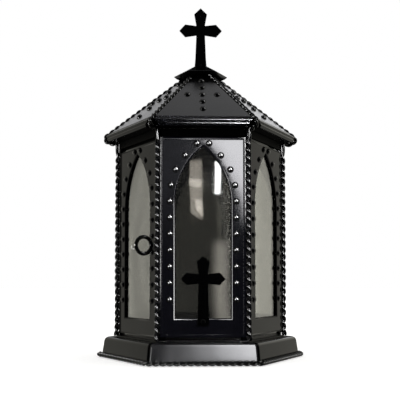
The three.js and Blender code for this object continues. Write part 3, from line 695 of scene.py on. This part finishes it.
# the wire is filed flat where it passes over the rosette
b.v = [(max(p[0], AP + 2.15), p[1], p[2]) for p in b.v]
add_turned(b, [(0, AP - 7.4), (1.7, AP - 7.4), (1.9, AP - 7.1), (1.9, AP + 1.0), (2.3, AP + 2.0), (2.5, AP + 2.8), (2.1, AP + 3.6), (1.2, AP + 4.2), (0, AP + 4.3)], (0, LATCH_T, LATCH_Z), (1, 0, 0), n=24)
add_torus(b, (cx + 11.6, LATCH_T, LATCH_Z - 2.2), (0, 1, 0), 2.0, 0.75, n=28, m=12, start=0.9, turn=4.9)
ring = finish_mesh(b, "ring_handle_fine", ROPE_MAT, "latch", ["ring_handle"], turn=210, sharp=50)
# the enamel is worn off the small curl by fingers
ring.data.materials.append(STEEL_MAT)
back = Matrix.Rotation(math.radians(-210), 3, "Z")
for p in ring.data.polygons:
    c = back @ p.center * 1000.0
    if c.x > cx + 8.7 + 1.9:
        p.material_index = 1
b = Build()
add_turned(b, [(2.25, 0.0), (3.45, 0.0), (3.6, 0.15), (3.6, 0.75), (3.35, 0.9), (2.4, 0.9), (2.25, 0.8)], (AP + 1.0, LATCH_T, LATCH_Z), (1, 0, 0), n=32, closed=True)
finish_mesh(b, "latch_washer_fine", STEEL_MAT, "door", ["latch_washer"], turn=210)

# ------------------------------------------------------------------ finishes of the construction's own pieces
for name, ob in frame["nodes"].items():
    if ob.hide_render:
        continue
    if name.startswith("pane_"):
        mat = GLASS_MAT
    elif name in ("cap_spacer", "cap_bridge", "finial_nut", "latch_washer", "latch_cam", "latch_nut"):
        mat = STEEL_MAT
    elif name.startswith(("hinge_pintle", "corner_post")):
        mat = CROSS_MAT
    # the soffit frame and header take the shaded copy of the enamel: painted shade
    elif name.startswith(("roof_frame", "body_header")):
        mat = SHADE_ENAMEL_MAT
    else:
        mat = INSIDE_MAT
    ob.data.materials.clear()
    ob.data.materials.append(mat)

# ------------------------------------------------------------------ floor, world, lights
scene = bpy.context.scene


def plane(name, points, material, camera=True, only_gloss=False):
    me = bpy.data.meshes.new(name)
    me.from_pydata(points, [], [tuple(range(len(points)))])
    me.materials.append(material)
    o = bpy.data.objects.new(name, me)
    scene.collection.objects.link(o)
    o.visible_camera = camera
    if only_gloss:
        o.visible_diffuse = o.visible_shadow = o.visible_transmission = o.visible_volume_scatter = False
    return o


fm, nt, bs = new_material("pale_floor")
bs.inputs["Base Color"].default_value = (0.86, 0.86, 0.86, 1)
bs.inputs["Roughness"].default_value = 0.9
bs.inputs["Specular IOR Level"].default_value = 0.0
# the floor glows, from 0.55 near the lantern to 1.05 far off, so that it reads white out to its far edge: painted light
bs.inputs["Emission Color"].default_value = (1, 1, 1, 1)
floor_tc = nt.nodes.new("ShaderNodeTexCoord")
floor_len = nt.nodes.new("ShaderNodeVectorMath")
floor_len.operation = "LENGTH"
nt.links.new(floor_tc.outputs["Object"], floor_len.inputs[0])
floor_far = nt.nodes.new("ShaderNodeMapRange")
floor_far.interpolation_type = "SMOOTHSTEP"
for key, value in {"From Min": 0.25, "From Max": 0.9, "To Min": 0.55, "To Max": 1.05}.items():
    floor_far.inputs[key].default_value = value
nt.links.new(floor_len.outputs["Value"], floor_far.inputs["Value"])
nt.links.new(floor_far.outputs["Result"], bs.inputs["Emission Strength"])
floor = plane("floor", [(-8, -8, -0.0003), (8, -8, -0.0003), (8, 8, -0.0003), (-8, 8, -0.0003)], fm)
# reflections and the view through the panes take the pale surroundings of the world instead of the floor
floor.visible_glossy = floor.visible_transmission = False

world = bpy.data.worlds.new("studio")
scene.world = world
world.use_nodes = True
nt = world.node_tree
L, N = nt.links, nt.nodes
bg = N["Background"]
tc = N.new("ShaderNodeTexCoord")
sep = N.new("ShaderNodeSeparateXYZ")
L.new(tc.outputs["Generated"], sep.inputs["Vector"])


def math_node(op, a, b=None, clamp=False):
    n = N.new("ShaderNodeMath")
    n.operation = op
    n.use_clamp = clamp
    for i, x in enumerate([a, b]):
        if x is None:
            continue
        if isinstance(x, (int, float)):
            n.inputs[i].default_value = x
        else:
            L.new(x, n.inputs[i])
    return n.outputs[0]


def smooth(x, lo, hi):
    n = N.new("ShaderNodeMapRange")
    n.interpolation_type = "SMOOTHSTEP"
    n.inputs["From Min"].default_value = lo
    n.inputs["From Max"].default_value = hi
    L.new(x, n.inputs["Value"])
    return n.outputs["Result"]


def ramp_of(x, lo, hi, stops):
    r = N.new("ShaderNodeMapRange")
    r.inputs["From Min"].default_value = lo
    r.inputs["From Max"].default_value = hi
    L.new(x, r.inputs["Value"])
    c = N.new("ShaderNodeValToRGB")
    c.color_ramp.interpolation = "EASE"
    el = c.color_ramp.elements
    while len(el) < len(stops):
        el.new(0.5)
    for e, (at, v) in zip(el, stops):
        e.position = (at - lo) / (hi - lo)
        e.color = (v, v, v, 1)
    L.new(r.outputs["Result"], c.inputs["Fac"])
    return c.outputs["Color"]


# what gloss reflects: pale walls left and right behind the lantern, a lit ceiling behind, darkness in front
absx = math_node("ABSOLUTE", sep.outputs["X"])
side_part = smooth(absx, 0.34, 0.55)
back_part = smooth(sep.outputs["Y"], -0.7, -0.1)
walls = math_node("MULTIPLY", side_part, back_part)
above = ramp_of(sep.outputs["Z"], 0.0, 1.0, [(0.14, 0.0), (0.28, 1.0), (0.44, 1.0), (0.52, 0.0), (0.80, 0.0), (0.90, 0.98), (1.0, 0.98)])
val = math_node("MULTIPLY", walls, 0.70)
rightward = smooth(sep.outputs["X"], -0.2, 0.2)
above_gain = math_node("ADD", 0.72, math_node("MULTIPLY", rightward, 0.40))
val = math_node("MAXIMUM", val, math_node("MULTIPLY", math_node("MULTIPLY", above, above_gain), back_part))
val = math_node("ADD", val, 0.012)
comb = N.new("ShaderNodeMix")
comb.data_type = "RGBA"
comb.inputs[6].default_value = (1.0, 1.0, 1.02, 1)
comb.inputs[7].default_value = (1.0, 0.98, 0.87, 1)
L.new(walls, comb.inputs[0])
scale = N.new("ShaderNodeVectorMath")
scale.operation = "SCALE"
L.new(comb.outputs[2], scale.inputs[0])
L.new(val, scale.inputs["Scale"])
# what shows through the panes: a dim room, with upright streaks towards the sides
streak = N.new("ShaderNodeTexNoise")
streak.noise_dimensions = "1D"
streak.inputs["Scale"].default_value = 70.0
streak.inputs["Detail"].default_value = 2.0
L.new(sep.outputs["X"], streak.inputs["W"])
lines = ramp_of(streak.outputs["Fac"], 0.0, 1.0, [(0.42, 0.0), (0.5, 0.25), (0.62, 1.0)])
aside = smooth(absx, 0.05, 0.075)
right_aside = smooth(sep.outputs["X"], 0.05, 0.075)
seen = math_node("ADD", 0.40, math_node("MULTIPLY", math_node("ADD", math_node("MULTIPLY", lines, 2.6), 1.1), aside))
seen = math_node("ADD", seen, math_node("MULTIPLY", right_aside, 1.4))
tint = N.new("ShaderNodeVectorMath")
tint.operation = "SCALE"
tint.inputs[0].default_value = (1.0, 0.985, 0.93)
L.new(seen, tint.inputs["Scale"])
lp = N.new("ShaderNodeLightPath")
through = N.new("ShaderNodeMix")
through.data_type = "RGBA"
L.new(lp.outputs["Is Transmission Ray"], through.inputs[0])
L.new(scale.outputs[0], through.inputs[6])
L.new(tint.outputs[0], through.inputs[7])
pick = N.new("ShaderNodeMix")
pick.data_type = "RGBA"
L.new(lp.outputs["Is Camera Ray"], pick.inputs[0])
L.new(through.outputs[2], pick.inputs[6])
pick.inputs[7].default_value = (1, 1, 1, 1)
L.new(pick.outputs[2], bg.inputs["Color"])
bg.inputs["Strength"].default_value = 1.0


def receivers(obj, names):
    """Only the named pieces are lit by this card."""
    coll = bpy.data.collections.new(obj.name + "_lights")
    for o in bpy.data.objects:
        if o.type == "MESH" and o.name.startswith(tuple(names)):
            coll.objects.link(o)
    obj.light_linking.receiver_collection = coll


CARDS = []


def card(name, corners, strength, colour, names, fade=(0.0, 0.0), along=None):
    """An upright soft card in front of the lantern. corners are (x, z) in metres at about y = -2.4; it fades to nothing
    over fade metres at its rim in x and z, and along = (x0, x1) makes it rise evenly from left to right."""
    m = bpy.data.materials.new(name)
    m.use_nodes = True
    nt2 = m.node_tree
    l2, n2 = nt2.links, nt2.nodes
    n2.remove(n2["Principled BSDF"])
    em = n2.new("ShaderNodeEmission")
    em.inputs["Color"].default_value = (*colour, 1)
    # light passes through a card, so that it never hides another one
    clear, both = n2.new("ShaderNodeBsdfTransparent"), n2.new("ShaderNodeAddShader")
    l2.new(em.outputs["Emission"], both.inputs[0])
    l2.new(clear.outputs["BSDF"], both.inputs[1])
    l2.new(both.outputs["Shader"], n2["Material Output"].inputs["Surface"])
    xs, zs = [c[0] for c in corners], [c[1] for c in corners]
    lo = (min(xs), min(zs))
    hi = (max(xs), max(zs))
    tc2 = n2.new("ShaderNodeTexCoord")
    sp = n2.new("ShaderNodeSeparateXYZ")
    l2.new(tc2.outputs["Object"], sp.inputs["Vector"])
    total = None

    def ramp(socket, a, b):
        nonlocal total
        r = n2.new("ShaderNodeMapRange")
        r.interpolation_type = "SMOOTHSTEP"
        r.inputs["From Min"].default_value = a
        r.inputs["From Max"].default_value = b
        l2.new(socket, r.inputs["Value"])
        if total is None:
            total = r.outputs["Result"]
        else:
            k = n2.new("ShaderNodeMath")
            k.operation = "MULTIPLY"
            l2.new(total, k.inputs[0])
            l2.new(r.outputs["Result"], k.inputs[1])
            total = k.outputs[0]

    if fade[0]:
        ramp(sp.outputs["X"], lo[0], lo[0] + fade[0])
        ramp(sp.outputs["X"], hi[0], hi[0] - fade[0])
    if fade[1]:
        ramp(sp.outputs["Z"], lo[1], lo[1] + fade[1])
        ramp(sp.outputs["Z"], hi[1], hi[1] - fade[1])
    if along:
        ramp(sp.outputs["X"], *along)
    if total is None:
        em.inputs["Strength"].default_value = strength
    else:
        k = n2.new("ShaderNodeMath")
        k.operation = "MULTIPLY"
        l2.new(total, k.inputs[0])
        k.inputs[1].default_value = strength
        l2.new(k.outputs[0], em.inputs["Strength"])
    CARDS.append(name)
    o = plane(name, [(x, -2.4 - 0.004 * len(CARDS), z) for x, z in corners], m, camera=False)
    o.visible_shadow = False
    receivers(o, names)
    return o


PLATES = ["panel_front_fine"]
card("card_upper_right", [(0.085, 0.86), (0.46, 0.86), (0.46, 0.30), (0.30, 0.30), (0.24, 0.47), (0.12, 0.66)], 62.0, (0.97, 0.97, 1.0), PLATES, fade=(0.04, 0.05))
card("card_top_line", [(0.10, 1.9), (0.75, 1.9), (0.75, 3.6), (0.10, 3.6)], 110.0, (1, 1, 1), PLATES, fade=(0.0, 0.2))
card("card_left_tall", [(-1.75, -0.30), (-0.95, -0.30), (-0.95, 1.3), (-1.75, 1.3)], 80.0, (1, 1, 1), PLATES + ["corner_rope", "plinth_side_front_fine", "foot_rope"], fade=(0.1, 0.3))
card("card_right_tall", [(1.15, 0.35), (2.2, 0.35), (2.2, 1.9), (1.15, 1.9)], 180.0, (1, 1, 1), PLATES + ["corner_rope"], fade=(0.1, 0.35))
card("card_panel_haze", [(-0.40, 0.15), (0.5, 0.15), (0.5, 1.4), (-0.40, 1.4)], 1.3, (0.94, 0.96, 1.0), PLATES, fade=(0.05, 0.45))
card("card_plinth", [(-0.14, 0.16), (0.9, 0.16), (0.9, 5.5), (-0.14, 5.5)], 72.0, (0.97, 0.97, 1.0), ["plinth_side_front_fine"], fade=(0.0, 0.04), along=(-0.10, 0.37))
card("card_eave", [(-0.5, 0.32), (0.7, 0.32), (0.7, 1.7), (-0.5, 1.7)], 460.0, (0.97, 0.97, 1.0), ["roof_eave_front_fine"], fade=(0.0, 0.10), along=(0.0, 0.48))
GLASS = ["pane_front"]
card("card_strip", [(0.136, 0.465), (0.162, 0.465), (0.162, 0.605), (0.136, 0.605)], 13.0, (1, 1, 1), GLASS, fade=(0.002, 0.004))
card("card_block", [(0.026, 0.38), (0.086, 0.34), (0.086, 0.625), (0.026, 0.61)], 2.0, (1.0, 0.92, 0.80), GLASS, fade=(0.006, 0.03))
card("card_block_band", [(0.026, 0.50), (0.086, 0.49), (0.086, 0.525), (0.026, 0.535)], 2.6, (1.0, 0.93, 0.84), GLASS, fade=(0.004, 0.006))
card("card_block_foot", [(0.050, 0.40), (0.086, 0.36), (0.086, 0.43), (0.050, 0.45)], 2.6, (1.0, 0.93, 0.84), GLASS, fade=(0.004, 0.006))
card("card_low", [(0.105, -0.30), (0.20, -0.30), (0.215, 0.29), (0.105, 0.29)], 1.3, (0.95, 0.90, 0.80), GLASS, fade=(0.05, 0.06))
card("card_haze", [(-0.40, -0.4), (0.5, -0.4), (0.5, 1.1), (-0.40, 1.1)], 0.03, (0.93, 0.97, 1.0), GLASS, fade=(0.05, 0.2))


def area(name, loc, target, sx, sy, power, colour=(1, 1, 1), roll=0.0, spread=180.0):
    light = bpy.data.lights.new(name, "AREA")
    light.shape = "RECTANGLE"
    light.size, light.size_y = sx, sy
    light.energy = power
    light.color = colour
    light.spread = math.radians(spread)
    o = bpy.data.objects.new(name, light)
    scene.collection.objects.link(o)
    o.visible_camera = False
    d = Vector(target) - Vector(loc)
    q = d.to_track_quat("-Z", "Y").to_matrix().to_4x4() @ Matrix.Rotation(math.radians(roll), 4, "Z")
    o.matrix_world = Matrix.Translation(loc) @ q
    return o


wires = ["corner_rope", "hip_rope", "foot_rope", "ring_handle", "roof_plate", "roof_eave", "roof_frame"]
key_left = area("key_left", (-2.2, -0.9, 0.2), (0, 0, 0.15), 0.5, 0.6, 90.0)
key_right = area("key_right", (1.8, -0.5, 1.8), (0, 0, 0.2), 0.6, 0.6, 60.0)
for light in (key_left, key_right):
    receivers(light, wires)
top = area("top", (0.0, -0.3, 2.6), (0, 0, 0), 2.6, 2.6, 22.0)
receivers(top, ["floor"])

# ------------------------------------------------------------------ camera
F_PX, DIST, CX, AXIS_ROW, CAM_Z, SHIFT_X, YAW, PITCH_UP = 723.8, 826.8, 199.41, 241.9, 83.7, 1.38, 1.75, 3.2
cam_data = bpy.data.cameras.new("camera")
cam_data.sensor_width = 36.0
cam_data.lens = F_PX * 36.0 / 400.0
cam = bpy.data.objects.new("camera", cam_data)
scene.collection.objects.link(cam)
pitch = math.radians(PITCH_UP)
# the picture's centre is 200, and the lens axis meets the picture at (CX, AXIS_ROW)
cam_data.shift_x = (200.0 - CX) / 400.0
cam_data.shift_y = (AXIS_ROW - 200.0) / 400.0
psi = math.radians(YAW)
# camera in the lantern's frame: the lantern is turned by YAW in front of a camera that looks along +Y
rot = Matrix.Rotation(-psi, 4, "Z")
loc = rot @ Vector((-SHIFT_X * 0.001, -DIST * 0.001, CAM_Z * 0.001))
look = rot @ Vector((0, math.cos(pitch), math.sin(pitch)))
cam.matrix_world = Matrix.Translation(loc) @ look.to_track_quat("-Z", "Y").to_matrix().to_4x4()
cam_data.clip_start, cam_data.clip_end = 0.01, 50
scene.camera = cam
scene.view_settings.view_transform = "Standard"
scene.view_settings.look = "None"
scene.cycles.max_bounces = 12
scene.cycles.transmission_bounces = 8
scene.cycles.transparent_max_bounces = 24
